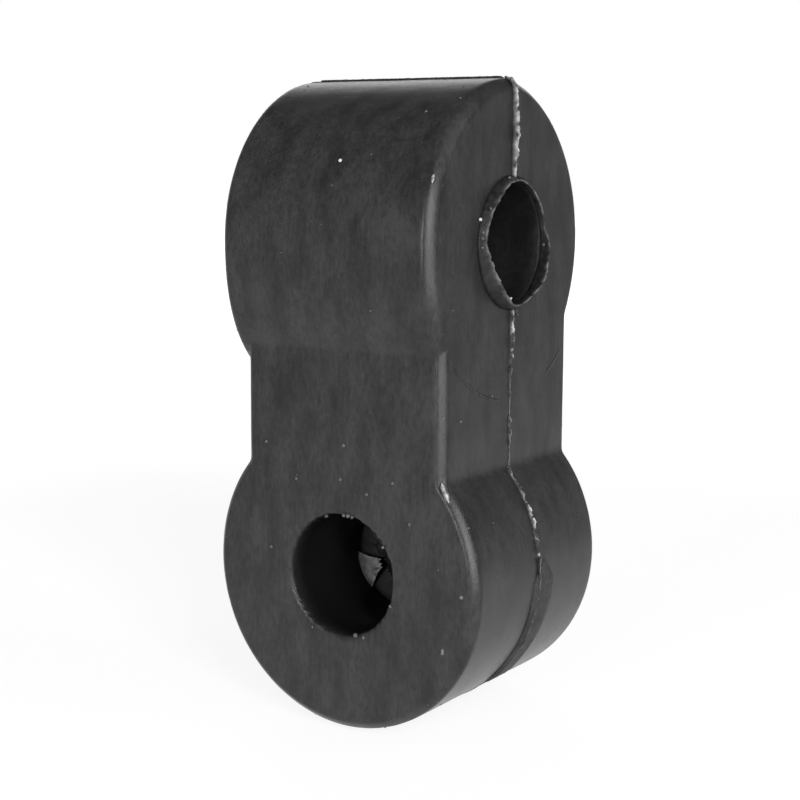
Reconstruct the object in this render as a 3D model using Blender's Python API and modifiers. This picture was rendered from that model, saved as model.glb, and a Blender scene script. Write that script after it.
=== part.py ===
"""Exhaust hanger rubber: one moulded block with two eyes at right angles.

The upper eye's bore runs along X and the lower eye's bore along Y. A square neck joins
the eyes. The mould parts on the plane Y = 0, with its halves slightly out of line at the
lower eye. That leaves a thin flash round the block, a trimmed rib under the lower eye, a torn
lip at the upper bore and a torn skin half way down the lower bore. The origin is the middle
of the upper bore. Units are metres, Z is up.
"""

import math
import random

import bmesh
import bpy
from mathutils import Matrix, Vector

MM = 0.001

# Eyes and bores
EYE_SPACING = 33.0 * MM
BORE_RADIUS = 6.1 * MM
UPPER_HALF_HEIGHT = 16.15 * MM
UPPER_HALF_DEPTH = 14.85 * MM
UPPER_LENGTH = 25.2 * MM
UPPER_SHIFT = -0.55 * MM
UPPER_RIM = 0.92 * MM
UPPER_FRONT_POWER = 2.4
LOWER_RADIUS = 15.9 * MM
LOWER_LENGTH = 24.9 * MM
LOWER_RIM = 0.75 * MM

# Neck, as deep as the lower eye is long
NECK_HALF_WIDTH = 12.0 * MM

# Flash on the parting plane
FLASH_HEIGHT = 0.3 * MM
FLASH_THICKNESS = 0.4 * MM
FLASH_SWELL = 0.4 * MM
FLASH_CLIMB = 0.3 * MM
FLASH_RAGGED = 0.35
FLASH_STEP = 1.1 * MM
FLASH_CORNER_GAP = 0.8 * MM
FLASH_SLIP = -0.45 * MM

# Trimmed rib, a ring section under the lower eye
RIB_HEIGHT = 0.3 * MM
RIB_WIDTH = 4.1 * MM
RIB_START = -1.25 * MM
RIB_STEEP = 0.45 * MM
RIB_CREST = 2.2 * MM
RIB_DROP = 0.15 * MM
RIB_TOP = 1.7 * MM
RIB_ROOT = 1.2 * MM

# Torn lip round the +X mouth of the upper bore
LIP_HEIGHT = 1.0 * MM
LIP_BASE_WALL = 0.7 * MM
LIP_CREST_WALL = 0.25 * MM
LIP_ROOT = 0.8 * MM
LIP_LEAN = 0.45
LIP_LEAN_ANGLE = math.radians(-150)
LIP_LOBES = 3
LIP_LOBE_SHARE = 0.3
LIP_LOBE_ANGLE = math.radians(-25)

# Torn skin half way down the lower bore
SKIN_REACH = 0.7 * MM
SKIN_THICKNESS = 0.4 * MM
SKIN_ROOT = 0.5 * MM
SKIN_RAGGED = 0.35
SKIN_SIDES = 24

# Facets
ARC_STEP = math.radians(4)
RIM_SEGMENTS = 4
BORE_SEGMENTS = 72
CUT_PAST = 3.0 * MM
WELD = 0.001 * MM
FLAT_ANGLE = math.radians(0.5)
RIM_ANGLE = math.radians(60)
SMOOTH_ANGLE = math.radians(30)

RUBBER_COLOUR = (0.045, 0.046, 0.048, 1.0)
RUBBER_ROUGHNESS = 0.42

ALONG_X = Matrix.Rotation(math.radians(90), 4, "Z") @ Matrix.Rotation(math.radians(90), 4, "X")
ALONG_Y = Matrix.Rotation(math.radians(90), 4, "X")


def clear_scene():
    for item in list(bpy.data.objects):
        bpy.data.objects.remove(item, do_unlink=True)


def new_collection(name):
    collection = bpy.data.collections.new(name)
    bpy.context.scene.collection.children.link(collection)
    return collection


def rubber_material():
    material = bpy.data.materials.new("moulded_rubber")
    material.use_nodes = True
    shader = material.node_tree.nodes["Principled BSDF"]
    shader.inputs["Base Color"].default_value = RUBBER_COLOUR
    shader.inputs["Roughness"].default_value = RUBBER_ROUGHNESS
    shader.inputs["Metallic"].default_value = 0.0
    material.diffuse_color = RUBBER_COLOUR
    return material


def link_mesh(name, mesh, collection):
    item = bpy.data.objects.new(name, mesh)
    collection.objects.link(item)
    return item


def arc(centre, radius, start, end):
    """Points and outward normals along an arc in a plane, both ends included."""
    count = max(2, round(abs(end - start) / ARC_STEP))
    points = []
    for i in range(count + 1):
        angle = start + (end - start) * i / count
        normal = Vector((math.cos(angle), math.sin(angle)))
        points.append((Vector(centre) + radius * normal, normal))
    return points


def straight(start, end, normal):
    """Evenly spaced points along a line, both ends included, sharing one normal."""
    start = Vector(start)
    end = Vector(end)
    count = max(1, round((end - start).length / FLASH_STEP))
    return [(start.lerp(end, i / count), Vector(normal)) for i in range(count + 1)]


def plate(name, outline, half_thickness, turn, collection):
    """A flat outline made solid, turned so that it faces along X or Y."""
    curve = bpy.data.curves.new(name + "_outline", "CURVE")
    curve.dimensions = "2D"
    curve.fill_mode = "BOTH"
    curve.extrude = half_thickness
    spline = curve.splines.new("POLY")
    spline.points.add(len(outline) - 1)
    for point, corner in zip(spline.points, outline):
        point.co = (corner[0], corner[1], 0.0, 1.0)
    spline.use_cyclic_u = True
    sketch = link_mesh(name + "_sketch", curve, collection)
    bpy.context.view_layer.update()
    flat = sketch.evaluated_get(bpy.context.evaluated_depsgraph_get())
    mesh = bpy.data.meshes.new_from_object(flat)
    bpy.data.objects.remove(sketch, do_unlink=True)
    shape = bmesh.new()
    shape.from_mesh(mesh)
    bmesh.ops.remove_doubles(shape, verts=shape.verts, dist=WELD)
    bmesh.ops.dissolve_limit(
        shape, angle_limit=FLAT_ANGLE, verts=shape.verts, edges=shape.edges
    )
    bmesh.ops.transform(shape, matrix=turn, verts=shape.verts)
    bmesh.ops.recalc_face_normals(shape, faces=shape.faces)
    shape.to_mesh(mesh)
    shape.free()
    mesh.name = name
    return link_mesh(name, mesh, collection)


def round_rims(item, width):
    bevel = item.modifiers.new("rims", "BEVEL")
    bevel.width = width
    bevel.segments = RIM_SEGMENTS
    bevel.limit_method = "ANGLE"
    bevel.angle_limit = RIM_ANGLE


def rod(name, radius, length, turn, place, collection):
    """A round cutter along X or Y through the given place."""
    shape = bmesh.new()
    bmesh.ops.create_cone(
        shape, cap_ends=True, segments=BORE_SEGMENTS,
        radius1=radius, radius2=radius, depth=length,
    )
    bmesh.ops.transform(shape, matrix=Matrix.Translation(place) @ turn, verts=shape.verts)
    mesh = bpy.data.meshes.new(name)
    shape.to_mesh(mesh)
    shape.free()
    return link_mesh(name, mesh, collection)


def box(name, low, high, collection):
    shape = bmesh.new()
    bmesh.ops.create_cube(shape, size=1.0)
    size = Vector(high) - Vector(low)
    middle = (Vector(high) + Vector(low)) / 2
    fit = Matrix.Translation(middle) @ Matrix.Diagonal((*size, 1.0))
    bmesh.ops.transform(shape, matrix=fit, verts=shape.verts)
    mesh = bpy.data.meshes.new(name)
    shape.to_mesh(mesh)
    shape.free()
    return link_mesh(name, mesh, collection)


def combine(body, operation, tool):
    step = body.modifiers.new(tool.name, "BOOLEAN")
    step.operation = operation
    step.solver = "EXACT"
    step.object = tool
    tool.hide_render = True
    tool.display_type = "WIRE"


def upper_left():
    return UPPER_SHIFT - UPPER_LENGTH / 2


def upper_right():
    return UPPER_SHIFT + UPPER_LENGTH / 2


def neck_angle():
    """Angle above the horizontal at which the neck's side meets the lower eye."""
    return math.acos(NECK_HALF_WIDTH / LOWER_RADIUS)


def neck_and_lower_eye(collection):
    """The front outline: a round eye that runs into a straight neck, cut off inside the upper eye."""
    meet = neck_angle()
    round_part = arc((0.0, -EYE_SPACING), LOWER_RADIUS, meet, -math.pi - meet)
    outline = [point for point, normal in round_part]
    outline.append(Vector((-NECK_HALF_WIDTH, 0.0)))
    outline.append(Vector((NECK_HALF_WIDTH, 0.0)))
    block = plate("hanger_rubber", outline, LOWER_LENGTH / 2, ALONG_Y, collection)
    round_rims(block, LOWER_RIM)
    return block


def front_quarter():
    """From the eye's lowest point to its foremost one, fuller than an arc so that it meets the neck low."""
    count = round(math.pi / 2 / ARC_STEP)
    points = []
    for i in range(count):
        turn = math.pi / 2 * i / count
        forward = math.sin(turn) ** (2 / UPPER_FRONT_POWER)
        down = math.cos(turn) ** (2 / UPPER_FRONT_POWER)
        points.append(Vector((-UPPER_HALF_DEPTH * forward, -UPPER_HALF_HEIGHT * down)))
    return points


def upper_eye(collection):
    """Each mould half cuts a shallow arc, so the eye comes to a faint peak on the parting plane."""
    height = UPPER_HALF_HEIGHT
    depth = UPPER_HALF_DEPTH
    radius = (height ** 2 + depth ** 2) / (2 * depth)
    inset = radius - depth
    half = math.pi - math.asin(height / radius) if inset < 0 else math.asin(height / radius)
    back = arc((-inset, 0.0), radius, half, -half)
    front = arc((inset, 0.0), radius, math.pi, math.pi - half)
    outline = [point for point, normal in back[:-1]]
    outline += front_quarter()
    outline += [point for point, normal in front[:-1]]
    eye = plate("upper_eye", outline, UPPER_LENGTH / 2, ALONG_X, collection)
    eye.data.transform(Matrix.Translation((UPPER_SHIFT, 0.0, 0.0)))
    round_rims(eye, UPPER_RIM)
    return eye


def neck_junction():
    """Height at which the neck's side meets the lower eye."""
    return LOWER_RADIUS * math.sin(neck_angle()) - EYE_SPACING


def upper_path():
    """The parting line round the upper eye and the neck, clockwise from the top left, with normals."""
    left = upper_left()
    right = upper_right()
    top = UPPER_HALF_HEIGHT
    rim = UPPER_RIM
    foot = neck_junction() + FLASH_CORNER_GAP
    path = straight((left + rim, top), (right - rim, top), (0, 1))
    path += arc((right - rim, top - rim), rim, math.pi / 2, 0)[1:]
    path += straight((right, top - rim), (right, rim - top), (1, 0))[1:]
    path += straight((NECK_HALF_WIDTH, -top), (NECK_HALF_WIDTH, foot), (1, 0))
    path += straight((-NECK_HALF_WIDTH, foot), (-NECK_HALF_WIDTH, -top - FLASH_CORNER_GAP), (-1, 0))
    path += arc((left + rim, rim - top), rim, -math.pi / 2, -math.pi)
    path += straight((left, rim - top), (left, top - rim), (-1, 0))[1:]
    path += arc((left + rim, top - rim), rim, math.pi, math.pi / 2)[1:-1]
    return path


def lower_path():
    """The parting line down both sides of the lower eye, as far as the trimmed rib."""
    centre = (0.0, -EYE_SPACING)
    low = math.asin((RIB_TOP - FLASH_CORNER_GAP) / LOWER_RADIUS)
    high = neck_angle()
    return arc(centre, LOWER_RADIUS, high, low) + arc(centre, LOWER_RADIUS, math.pi - low, math.pi - high)


def flash_height(point, chance):
    """Ragged height, which climbs towards -X on top and swells on the +X face above the bore."""
    height = FLASH_HEIGHT * (1 + FLASH_RAGGED * chance.uniform(-1, 1))
    if point[1] > UPPER_HALF_HEIGHT - UPPER_RIM:
        height += FLASH_CLIMB * (upper_right() - point[0]) / UPPER_LENGTH
    on_face = point[0] > upper_right() - UPPER_RIM / 2
    share = (point[1] - BORE_RADIUS) / (UPPER_HALF_HEIGHT - BORE_RADIUS)
    if on_face and 0 < share < 1:
        height += FLASH_SWELL * math.sin(math.pi * share)
    return height


def parting_flash(name, path, slip, seed, collection):
    """A thin plate that stands out of the block along the path, out of line by the slip."""
    chance = random.Random(seed)
    outline = [p + n * flash_height(p, chance) for p, n in path]
    flash = plate(name, outline, FLASH_THICKNESS / 2, ALONG_Y, collection)
    flash.data.transform(Matrix.Translation((0.0, slip, 0.0)))
    return flash


def trimmed_rib(collection):
    """A ring round the lower eye, steep towards the front and shallow towards the back."""
    floor = LOWER_RADIUS - RIB_ROOT
    crest = LOWER_RADIUS + RIB_HEIGHT
    end = RIB_START + RIB_WIDTH
    corners = [
        (floor, RIB_START), (LOWER_RADIUS, RIB_START), (crest, RIB_START + RIB_STEEP),
        (crest, RIB_START + RIB_STEEP + RIB_CREST), (LOWER_RADIUS, end), (floor, end),
    ]
    mesh = bpy.data.meshes.new("trimmed_rib")
    shape = bmesh.new()
    verts = [shape.verts.new((radius, along, 0.0)) for radius, along in corners]
    for i, vert in enumerate(verts):
        shape.edges.new((vert, verts[(i + 1) % len(verts)]))
    shape.to_mesh(mesh)
    shape.free()
    ring = link_mesh("trimmed_rib", mesh, collection)
    ring.location = (0.0, 0.0, -EYE_SPACING - RIB_DROP)
    turn = ring.modifiers.new("turn", "SCREW")
    turn.axis = "Y"
    turn.steps = round(math.tau / ARC_STEP)
    turn.render_steps = turn.steps
    turn.use_merge_vertices = True
    turn.merge_threshold = WELD
    reach = LOWER_RADIUS + CUT_PAST
    above = box(
        "rib_upper_half",
        (-reach, RIB_START - CUT_PAST, RIB_TOP - EYE_SPACING),
        (reach, end + CUT_PAST, reach - EYE_SPACING),
        collection,
    )
    combine(ring, "DIFFERENCE", above)
    return ring


def lip_height(angle):
    """Height of the torn lip: one side stands higher, and three lobes were left by the tear."""
    lean = LIP_LEAN * math.cos(angle - LIP_LEAN_ANGLE)
    lobes = LIP_LOBE_SHARE * math.cos(LIP_LOBES * (angle - LIP_LOBE_ANGLE))
    return LIP_HEIGHT * (1 + lean + lobes)


def torn_lip(collection):
    """A tapered stub on the +X face, with a ragged top, that the bore then opens."""
    shape = bmesh.new()
    bmesh.ops.create_cone(
        shape, cap_ends=True, segments=BORE_SEGMENTS,
        radius1=BORE_RADIUS + LIP_BASE_WALL, radius2=BORE_RADIUS + LIP_CREST_WALL,
        depth=LIP_ROOT,
    )
    top = max(shape.faces, key=lambda face: face.calc_center_median().z)
    crest = list(top.verts)
    bmesh.ops.poke(shape, faces=[top])
    for vert in crest:
        vert.co.z += lip_height(math.atan2(vert.co.y, vert.co.x))
    place = Matrix.Translation((upper_right() - LIP_ROOT / 2, 0.0, 0.0))
    bmesh.ops.transform(shape, matrix=place @ ALONG_X, verts=shape.verts)
    mesh = bpy.data.meshes.new("torn_lip")
    shape.to_mesh(mesh)
    shape.free()
    return link_mesh("torn_lip", mesh, collection)


def torn_skin(collection):
    """A thin ring left in the lower bore where the two core pins met."""
    middle = (0.0, 0.0, -EYE_SPACING)
    disc = rod(
        "torn_skin", BORE_RADIUS + SKIN_ROOT, SKIN_THICKNESS, ALONG_Y, middle, collection
    )
    chance = random.Random(5)
    outline = []
    for i in range(SKIN_SIDES):
        angle = math.tau * i / SKIN_SIDES
        reach = SKIN_REACH * (1 + SKIN_RAGGED * chance.uniform(-1, 1))
        radius = BORE_RADIUS - reach
        outline.append((radius * math.cos(angle), radius * math.sin(angle) - EYE_SPACING))
    tear = plate("skin_tear", outline, SKIN_THICKNESS, ALONG_Y, collection)
    combine(disc, "DIFFERENCE", tear)
    return disc


def build():
    clear_scene()
    parts = new_collection("exhaust_hanger_rubber")
    cutters = new_collection("cutters")
    body = neck_and_lower_eye(parts)
    combine(body, "UNION", upper_eye(cutters))
    combine(body, "UNION", parting_flash("upper_flash", upper_path(), 0.0, 11, cutters))
    combine(body, "UNION", parting_flash("lower_flash", lower_path(), FLASH_SLIP, 4, cutters))
    combine(body, "UNION", trimmed_rib(cutters))
    combine(body, "UNION", torn_lip(cutters))
    upper_cut = UPPER_LENGTH + 2 * CUT_PAST
    lower_cut = LOWER_LENGTH + 2 * CUT_PAST
    low = (0.0, 0.0, -EYE_SPACING)
    combine(body, "DIFFERENCE", rod("upper_bore", BORE_RADIUS, upper_cut, ALONG_X, (0, 0, 0), cutters))
    combine(body, "DIFFERENCE", rod("lower_bore", BORE_RADIUS, lower_cut, ALONG_Y, low, cutters))
    combine(body, "UNION", torn_skin(cutters))
    body.data.shade_smooth()
    body.data.set_sharp_from_angle(angle=SMOOTH_ANGLE)
    body.data.materials.append(rubber_material())


build()
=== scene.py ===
# %% [markdown]
# # Exhaust hanger rubber
# A hanger rubber is one moulded block with two eyes at right angles. One rod from the car and
# one from the exhaust pipe go through it, and the block takes the pipe's weight and its shake.
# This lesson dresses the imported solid: it makes a finer block with soft creases, then adds what
# the mould and the knife left behind, and finishes it as satin black rubber.

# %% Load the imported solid
import math

import bmesh
import bpy
from mathutils import Matrix, Vector


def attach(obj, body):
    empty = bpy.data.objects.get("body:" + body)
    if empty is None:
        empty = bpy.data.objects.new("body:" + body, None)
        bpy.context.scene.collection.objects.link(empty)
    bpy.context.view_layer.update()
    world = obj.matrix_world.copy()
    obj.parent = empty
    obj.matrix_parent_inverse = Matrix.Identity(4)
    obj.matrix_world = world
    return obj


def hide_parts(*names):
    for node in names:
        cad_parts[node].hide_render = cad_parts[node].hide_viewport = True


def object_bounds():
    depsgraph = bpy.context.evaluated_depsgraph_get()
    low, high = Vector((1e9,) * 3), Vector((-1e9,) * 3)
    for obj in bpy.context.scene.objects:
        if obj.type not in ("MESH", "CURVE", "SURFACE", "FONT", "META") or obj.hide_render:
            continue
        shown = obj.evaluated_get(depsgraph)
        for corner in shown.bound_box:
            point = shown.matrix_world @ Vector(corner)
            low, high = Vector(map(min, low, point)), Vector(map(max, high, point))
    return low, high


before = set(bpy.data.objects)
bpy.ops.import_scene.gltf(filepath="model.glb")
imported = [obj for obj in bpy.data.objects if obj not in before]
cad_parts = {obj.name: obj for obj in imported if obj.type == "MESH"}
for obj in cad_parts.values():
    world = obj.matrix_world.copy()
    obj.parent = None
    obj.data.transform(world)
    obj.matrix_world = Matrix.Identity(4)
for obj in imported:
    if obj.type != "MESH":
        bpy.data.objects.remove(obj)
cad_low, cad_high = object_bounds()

MM = 0.001
print("solid from", [round(v / MM, 2) for v in cad_low], "to", [round(v / MM, 2) for v in cad_high])

# %% [markdown]
# ## Sizes
# The origin is the middle of the upper bore. The upper bore runs along X, the lower bore along
# Y, and the mould parted on the plane Y = 0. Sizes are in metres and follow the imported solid.
# Some of them follow the photograph more closely than the solid does: the rims are wider, the
# upper eye ends a quarter of a millimetre further left and a little further in at the right,
# and its top rises towards the left.

# %% Sizes of the block
EYE_SPACING = 33.0 * MM
BORE_RADIUS = 6.1 * MM
UPPER_HALF_HEIGHT = 16.15 * MM
UPPER_HALF_DEPTH = 14.85 * MM
UPPER_LEFT = -13.4 * MM
UPPER_RIGHT = 12.005 * MM
UPPER_RIM = 1.1 * MM
UPPER_FRONT_POWER = 2.4
UPPER_DRAFT = 0.02
LOWER_RADIUS = 15.9 * MM
LOWER_HALF_LENGTH = 12.45 * MM
LOWER_RIM = 0.88 * MM
NECK_HALF_WIDTH = 12.0 * MM
NECK_ANGLE = math.acos(NECK_HALF_WIDTH / LOWER_RADIUS)
print("block is", round((UPPER_HALF_HEIGHT + EYE_SPACING + LOWER_RADIUS) / MM, 2), "mm tall")

# %% [markdown]
# ## Camera
# The photograph was taken from the right and a little above. The camera's place comes from a
# fit of the block's outline. Its axes are set as a matrix, because it also leans a quarter of a
# degree to one side.

# %% Camera
CAMERA_PLACE = Vector((88.809, -135.679, 5.568)) * MM
CAMERA_AZIMUTH = math.radians(33.568)
CAMERA_ELEVATION = math.radians(7.83)
CAMERA_ROLL = math.radians(0.275)
CAMERA_LENS = 70.054


def make_camera():
    data = bpy.data.cameras.new("camera")
    data.sensor_width = 36.0
    data.lens = CAMERA_LENS
    data.clip_start = 0.01
    data.clip_end = 10.0
    camera = bpy.data.objects.new("camera", data)
    bpy.context.scene.collection.objects.link(camera)
    turn = Matrix.Rotation(CAMERA_AZIMUTH, 4, "Z")
    tilt = Matrix.Rotation(math.pi / 2 - CAMERA_ELEVATION, 4, "X")
    roll = Matrix.Rotation(CAMERA_ROLL, 4, "Z")
    camera.matrix_world = Matrix.Translation(CAMERA_PLACE) @ turn @ tilt @ roll
    bpy.context.scene.camera = camera
    return camera


camera = make_camera()
print("camera at", [round(v / MM, 1) for v in camera.matrix_world.translation], "mm")

# %% [markdown]
# ## One helper for nodes
# Materials and Geometry Nodes are both trees of nodes. This helper adds one node, sets it up
# and fills its sockets. A word in place of the settings is the node's operation, and a tuple
# fills the sockets in order. A node or a socket is linked to, a node by its first output, and
# any other value is typed in.

# %% Node helper and colours
MATH, VECTOR_MATH = "ShaderNodeMath", "ShaderNodeVectorMath"
NOISE, MAP_RANGE = "ShaderNodeTexNoise", "ShaderNodeMapRange"


def add_node(tree, kind, settings=None, inputs=None):
    node = tree.nodes.new(kind)
    if isinstance(settings, str):
        settings = {"operation": settings}
    if isinstance(inputs, tuple):
        inputs = dict(enumerate(inputs))
    for key, value in (settings or {}).items():
        setattr(node, key, value)
    for key, value in (inputs or {}).items():
        if isinstance(value, bpy.types.Node):
            value = value.outputs[0]
        if isinstance(value, bpy.types.NodeSocket):
            tree.links.new(value, node.inputs[key])
        else:
            node.inputs[key].default_value = value
    return node


def linear(hex_colour):
    """An sRGB hex colour as the linear colour that shaders take."""
    parts = [int(hex_colour[i : i + 2], 16) / 255 for i in (1, 3, 5)]
    return [c / 12.92 if c <= 0.04045 else ((c + 0.055) / 1.055) ** 2.4 for c in parts] + [1.0]


print("satin rubber #202020 is", [round(c, 4) for c in linear("#202020")])

# %% [markdown]
# ## Studio
# The block stands in plain pale surroundings: white paper under it, low pale walls all round
# and a darker ceiling. The rubber mirrors a painted pool of light: round the block the paper
# glows to reflections only, so the faces grow paler downwards. A tall soft lamp at the right of
# the camera puts a light on every rounded rim, and one in front fills the shadows. A wide lamp
# behind the block draws the bright line along its top, a small one high on the right picks out
# the upper rim and the torn edges, and a strip just above the paper lights the upright rim of
# the neck.

# %% Floor, world and lamps
# Brightness of the surroundings at heights in degrees above the horizon.
WALL_LEVELS = [(3, 0.52), (16, 0.29), (32, 0.18), (55, 0.09)]
FLOOR_SIZE = 3.0
FLOOR_GAP = 0.05 * MM
# How much of the paper glows instead of taking shadow, near the block and far from it: first
# as the camera sees it, and then as the rubber mirrors it. The glow in the rubber's reflections
# is a painted pool of light round the block.
FLOOR_NEAR, FLOOR_FAR = 0.12, 0.4
NEAR_WHITE, FAR_WHITE = 0.72, 1.0
PAINTED_POOL_NEAR, PAINTED_POOL_FAR = 0.05, 0.34
NEAR_PAINTED_POOL, FAR_PAINTED_POOL = 0.85, 0.1
PAPER_GLOW = 1.2


def make_world():
    """White to the camera; all else sees a level that falls with height, in degrees."""
    world = bpy.data.worlds.new("studio")
    world.use_nodes = True
    tree = world.node_tree
    tree.nodes.clear()
    direction = add_node(tree, "ShaderNodeTexCoord")
    height = add_node(tree, "ShaderNodeSeparateXYZ", inputs=(direction.outputs["Generated"],))
    fade = add_node(tree, "ShaderNodeValToRGB", inputs=(height.outputs["Z"],))
    while len(fade.color_ramp.elements) < len(WALL_LEVELS):
        fade.color_ramp.elements.new(0.5)
    for stop, (degrees, level) in zip(fade.color_ramp.elements, WALL_LEVELS):
        stop.position = math.sin(math.radians(degrees))
        stop.color = (level, level, level, 1.0)
    path = add_node(tree, "ShaderNodeLightPath")
    seen = add_node(
        tree, "ShaderNodeMix", {"data_type": "RGBA"},
        {0: path.outputs["Is Camera Ray"], 6: fade, 7: linear("#ffffff")},
    )
    light = add_node(tree, "ShaderNodeBackground", inputs={"Color": seen.outputs[2]})
    add_node(tree, "ShaderNodeOutputWorld", inputs={"Surface": light})
    bpy.context.scene.world = world


def make_floor():
    """A wide pale floor that the camera sees as white paper, with the block's soft shadow on it.
    In the rubber's reflections it glows round the block as a painted pool of light.
    """
    shape = bmesh.new()
    bmesh.ops.create_grid(shape, x_segments=1, y_segments=1, size=FLOOR_SIZE)
    mesh = bpy.data.meshes.new("floor")
    shape.to_mesh(mesh)
    shape.free()
    floor = bpy.data.objects.new("floor", mesh)
    floor.location = (0.0, 0.0, cad_low.z - FLOOR_GAP)
    bpy.context.scene.collection.objects.link(floor)
    paper = bpy.data.materials.new("white_paper")
    paper.use_nodes = True
    tree = paper.node_tree
    tree.nodes.clear()
    path = add_node(tree, "ShaderNodeLightPath")
    place = add_node(tree, "ShaderNodeTexCoord")
    away = add_node(tree, VECTOR_MATH, "LENGTH", {0: place.outputs["Object"]})
    level = add_node(
        tree, MAP_RANGE,
        inputs={"Value": away.outputs["Value"], "From Min": FLOOR_NEAR, "From Max": FLOOR_FAR,
                "To Min": NEAR_WHITE, "To Max": FAR_WHITE},
    )
    # Painted pool of light: near the block the paper glows to the rubber's reflections only.
    pool = add_node(
        tree, MAP_RANGE,
        inputs={"Value": away.outputs["Value"], "From Min": PAINTED_POOL_NEAR, "From Max": PAINTED_POOL_FAR,
                "To Min": NEAR_PAINTED_POOL, "To Max": FAR_PAINTED_POOL},
    )
    painted_reflection = add_node(tree, MATH, "MULTIPLY", (path.outputs["Is Glossy Ray"], pool))
    share = add_node(tree, MATH, "MULTIPLY_ADD", (path.outputs["Is Camera Ray"], level, painted_reflection))
    lit = add_node(tree, "ShaderNodeBsdfDiffuse", inputs={"Color": linear("#f3f3f3")})
    white = add_node(
        tree, "ShaderNodeEmission", inputs={"Color": linear("#ffffff"), "Strength": PAPER_GLOW}
    )
    mixed = add_node(tree, "ShaderNodeMixShader", inputs=(share, lit, white))
    add_node(tree, "ShaderNodeOutputMaterial", inputs={"Surface": mixed})
    mesh.materials.append(paper)


def make_lamp(name, azimuth, elevation, wide, high, watts, far=1.0):
    """A soft lamp, far metres off, that faces the block; azimuth 0 is in front, 90 at its right."""
    data = bpy.data.lights.new(name, "AREA")
    data.shape = "RECTANGLE"
    data.size = wide
    data.size_y = high
    data.energy = watts
    lamp = bpy.data.objects.new(name, data)
    bpy.context.scene.collection.objects.link(lamp)
    a, e = math.radians(azimuth), math.radians(elevation)
    back = Vector((math.sin(a) * math.cos(e), -math.cos(a) * math.cos(e), math.sin(e)))
    lamp.location = Vector((0.0, 0.0, -EYE_SPACING / 2)) + far * back
    lamp.visible_camera = False
    lamp.rotation_mode = "QUATERNION"
    lamp.rotation_quaternion = back.to_track_quat("Z", "Y")


bpy.context.scene.view_settings.view_transform = "Standard"
make_world()
make_floor()
make_lamp("key_lamp", 53, 16, 0.3, 0.68, 8.6)
make_lamp("fill_lamp", 0, 6, 0.4, 0.3, 5.0)
make_lamp("top_lamp", 218, 24, 0.9, 0.25, 1.35)
make_lamp("edge_lamp", 104, 44, 0.35, 0.35, 0.8)
make_lamp("low_strip", 56, -6, 0.1, 0.018, 0.08, 0.22)
print("studio ready, floor at", round((cad_low.z - FLOOR_GAP) / MM, 2), "mm")

# %% [markdown]
# ## The block
# Each eye is an outline drawn out to a length, with rounded rims. An outline is a list of
# points, and a rounded rim is a few more copies of it that step inwards along a curve between
# a chamfer and a quarter circle. Two such blocks are joined and bored with exact Booleans,
# which keeps the rims clean.

# %% Outlines
ARC_STEP = math.radians(2)
FRONT_STEPS = 45


def arc_points(centre, radius, start, end):
    count = max(2, round(abs(end - start) / ARC_STEP))
    angles = [start + (end - start) * i / count for i in range(count + 1)]
    return [Vector(centre) + radius * Vector((math.cos(a), math.sin(a))) for a in angles]


def keyhole_outline():
    """The round lower eye and the neck, which ends inside the upper eye, anticlockwise."""
    points = arc_points((0, -EYE_SPACING), LOWER_RADIUS, -math.pi - NECK_ANGLE, NECK_ANGLE)
    return points + [Vector((NECK_HALF_WIDTH, 0)), Vector((-NECK_HALF_WIDTH, 0))]


def upper_arc():
    """Radius, middle and half angle of the shallow arc that each mould half cuts."""
    radius = (UPPER_HALF_HEIGHT**2 + UPPER_HALF_DEPTH**2) / (2 * UPPER_HALF_DEPTH)
    return radius, radius - UPPER_HALF_DEPTH, math.asin(UPPER_HALF_HEIGHT / radius)


def front_quarter():
    """From the eye's foremost point to its lowest one, fuller than an arc."""
    points = []
    for i in range(FRONT_STEPS + 1):
        turn = math.pi / 2 * (1 - i / FRONT_STEPS)
        forward = math.sin(turn) ** (2 / UPPER_FRONT_POWER)
        down = math.cos(turn) ** (2 / UPPER_FRONT_POWER)
        points.append(Vector((-UPPER_HALF_DEPTH * forward, -UPPER_HALF_HEIGHT * down)))
    return points


def upper_outline():
    """The upper eye seen along its bore: shallow arcs, with a faint peak on the parting plane."""
    radius, inset, half = upper_arc()
    back = arc_points((-inset, 0), radius, -half, half)
    front = arc_points((inset, 0), radius, math.pi - half, math.pi)
    return back[:-1] + front[:-1] + front_quarter()[:-1]


print("outlines:", len(keyhole_outline()), "and", len(upper_outline()), "points")

# %% Block with rounded rims
RIM_STEPS = 8
RIM_POWER = 1.2
BORE_SEGMENTS = 180
BORE_CUT = 40 * MM
FACE_ALONG_Y = Matrix.Rotation(math.pi / 2, 4, "X")
FACE_ALONG_X = Matrix.Rotation(math.pi / 2, 4, "Z") @ FACE_ALONG_Y


def mitres(points):
    """For each corner of an anticlockwise outline, the way out that keeps its edges parallel."""
    ways = []
    for before, here, after in zip(points[-1:] + points[:-1], points, points[1:] + points[:1]):
        a, b = (here - before).normalized(), (after - here).normalized()
        out_a, out_b = Vector((a.y, -a.x)), Vector((b.y, -b.x))
        ways.append((out_a + out_b) / (1 + out_a.dot(out_b)))
    return ways


def link_mesh(name, shape):
    mesh = bpy.data.meshes.new(name)
    shape.to_mesh(mesh)
    shape.free()
    item = bpy.data.objects.new(name, mesh)
    bpy.context.scene.collection.objects.link(item)
    return item


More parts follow.
